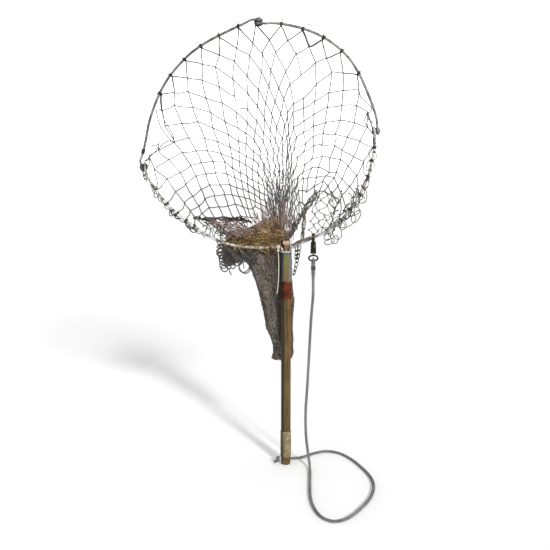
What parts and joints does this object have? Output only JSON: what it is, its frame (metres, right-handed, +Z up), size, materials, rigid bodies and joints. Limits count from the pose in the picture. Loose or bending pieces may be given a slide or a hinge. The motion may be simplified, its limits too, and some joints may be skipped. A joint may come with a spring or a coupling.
{
  "type": "landing net",
  "caption": "Landing net with a wooden pole, a hinged round wire hoop that folds in half, a hung net bag and a rope lanyard with a bolt snap.",
  "frame": {"origin": "centre of the pole's flat butt end, which stands on the floor", "axes": "+Z up the pole towards the hoop, +X across the hoop towards the lanyard's side, +Y behind the hoop, where the bag hangs"},
  "size_m": [0.5698, 0.3936, 1.0808],
  "materials": {
    "hoop_steel": "weathered, satin",
    "rivet_steel": "dull, tarnished",
    "pole_wood": "worn varnish, darker low down",
    "wedge_wood": "raw, pale",
    "ferrule_paint": "worn green to ochre paint",
    "ferrule_lip_metal": "pale, worn",
    "red_tape": "old red-brown cloth tape",
    "grip_cloth": "cream cloth tape, wrinkled",
    "net_twine": "grey knotted twine",
    "bunch_twine": "golden brown tangled twine",
    "rope": "grey laid rope",
    "tie_cord": "off-white cotton cord",
    "snap_brass": "weathered bronze",
    "spring_steel": "bright"
  },
  "bodies": {
    "root": {"handle_pole": "pole_wood", "ferrule_tube": "ferrule_paint", "ferrule_lip": "ferrule_lip_metal", "ferrule_pin": "rivet_steel", "hoop_wedge": "wedge_wood", "red_tape_band": "red_tape", "grip_tape": "grip_cloth", "lower_left_wire": "hoop_steel", "lower_right_wire": "hoop_steel", "left_hinge_rivet": "rivet_steel", "left_hinge_washer": "rivet_steel", "right_hinge_rivet": "rivet_steel", "right_hinge_washer": "rivet_steel", "net_lower": "net_twine", "net_tail": "net_twine", "inner_net_bunch": "bunch_twine", "lanyard_rope": "rope", "stopper_knot": "rope", "tie_cord": "tie_cord", "tie_knot": "tie_cord"},
    "upper_hoop": {"upper_left_wire": "hoop_steel", "upper_right_wire": "hoop_steel", "top_joint_rivet": "rivet_steel", "top_joint_washer": "rivet_steel", "net_upper": "net_twine"},
    "snap_body": {"snap_hook_body": "snap_brass", "snap_spring": "spring_steel"},
    "snap_slide": {"snap_bolt": "snap_brass"},
    "snap_eye": {"swivel_eye": "snap_brass", "rope_eye_splice": "rope"}
  },
  "joints": [
    {"name": "hoop_fold", "type": "hinge", "parent": "root", "child": "upper_hoop", "pos_m": [-0.064, 0, 0.782], "axis": [0.9885, 0, 0.151], "range_deg": [0, 165]},
    {"name": "snap_swing", "type": "hinge", "parent": "root", "child": "snap_body", "pos_m": [0.0655, 0, 0.5718], "axis": [0.9112, 0, 0.4119], "range_deg": [-35, 12]},
    {"name": "snap_bolt_slide", "type": "slide", "parent": "snap_body", "child": "snap_slide", "axis": [0, 0, -1], "range_m": [0, 0.008], "stiffness_N_per_m": 150, "springref_m": -0.004, "deforming": ["snap_spring"]},
    {"name": "snap_swivel", "type": "hinge", "parent": "snap_body", "child": "snap_eye", "pos_m": [0.0655, -0.0025, 0.5223], "axis": [0, 0, 1], "continuous": true}
  ]
}
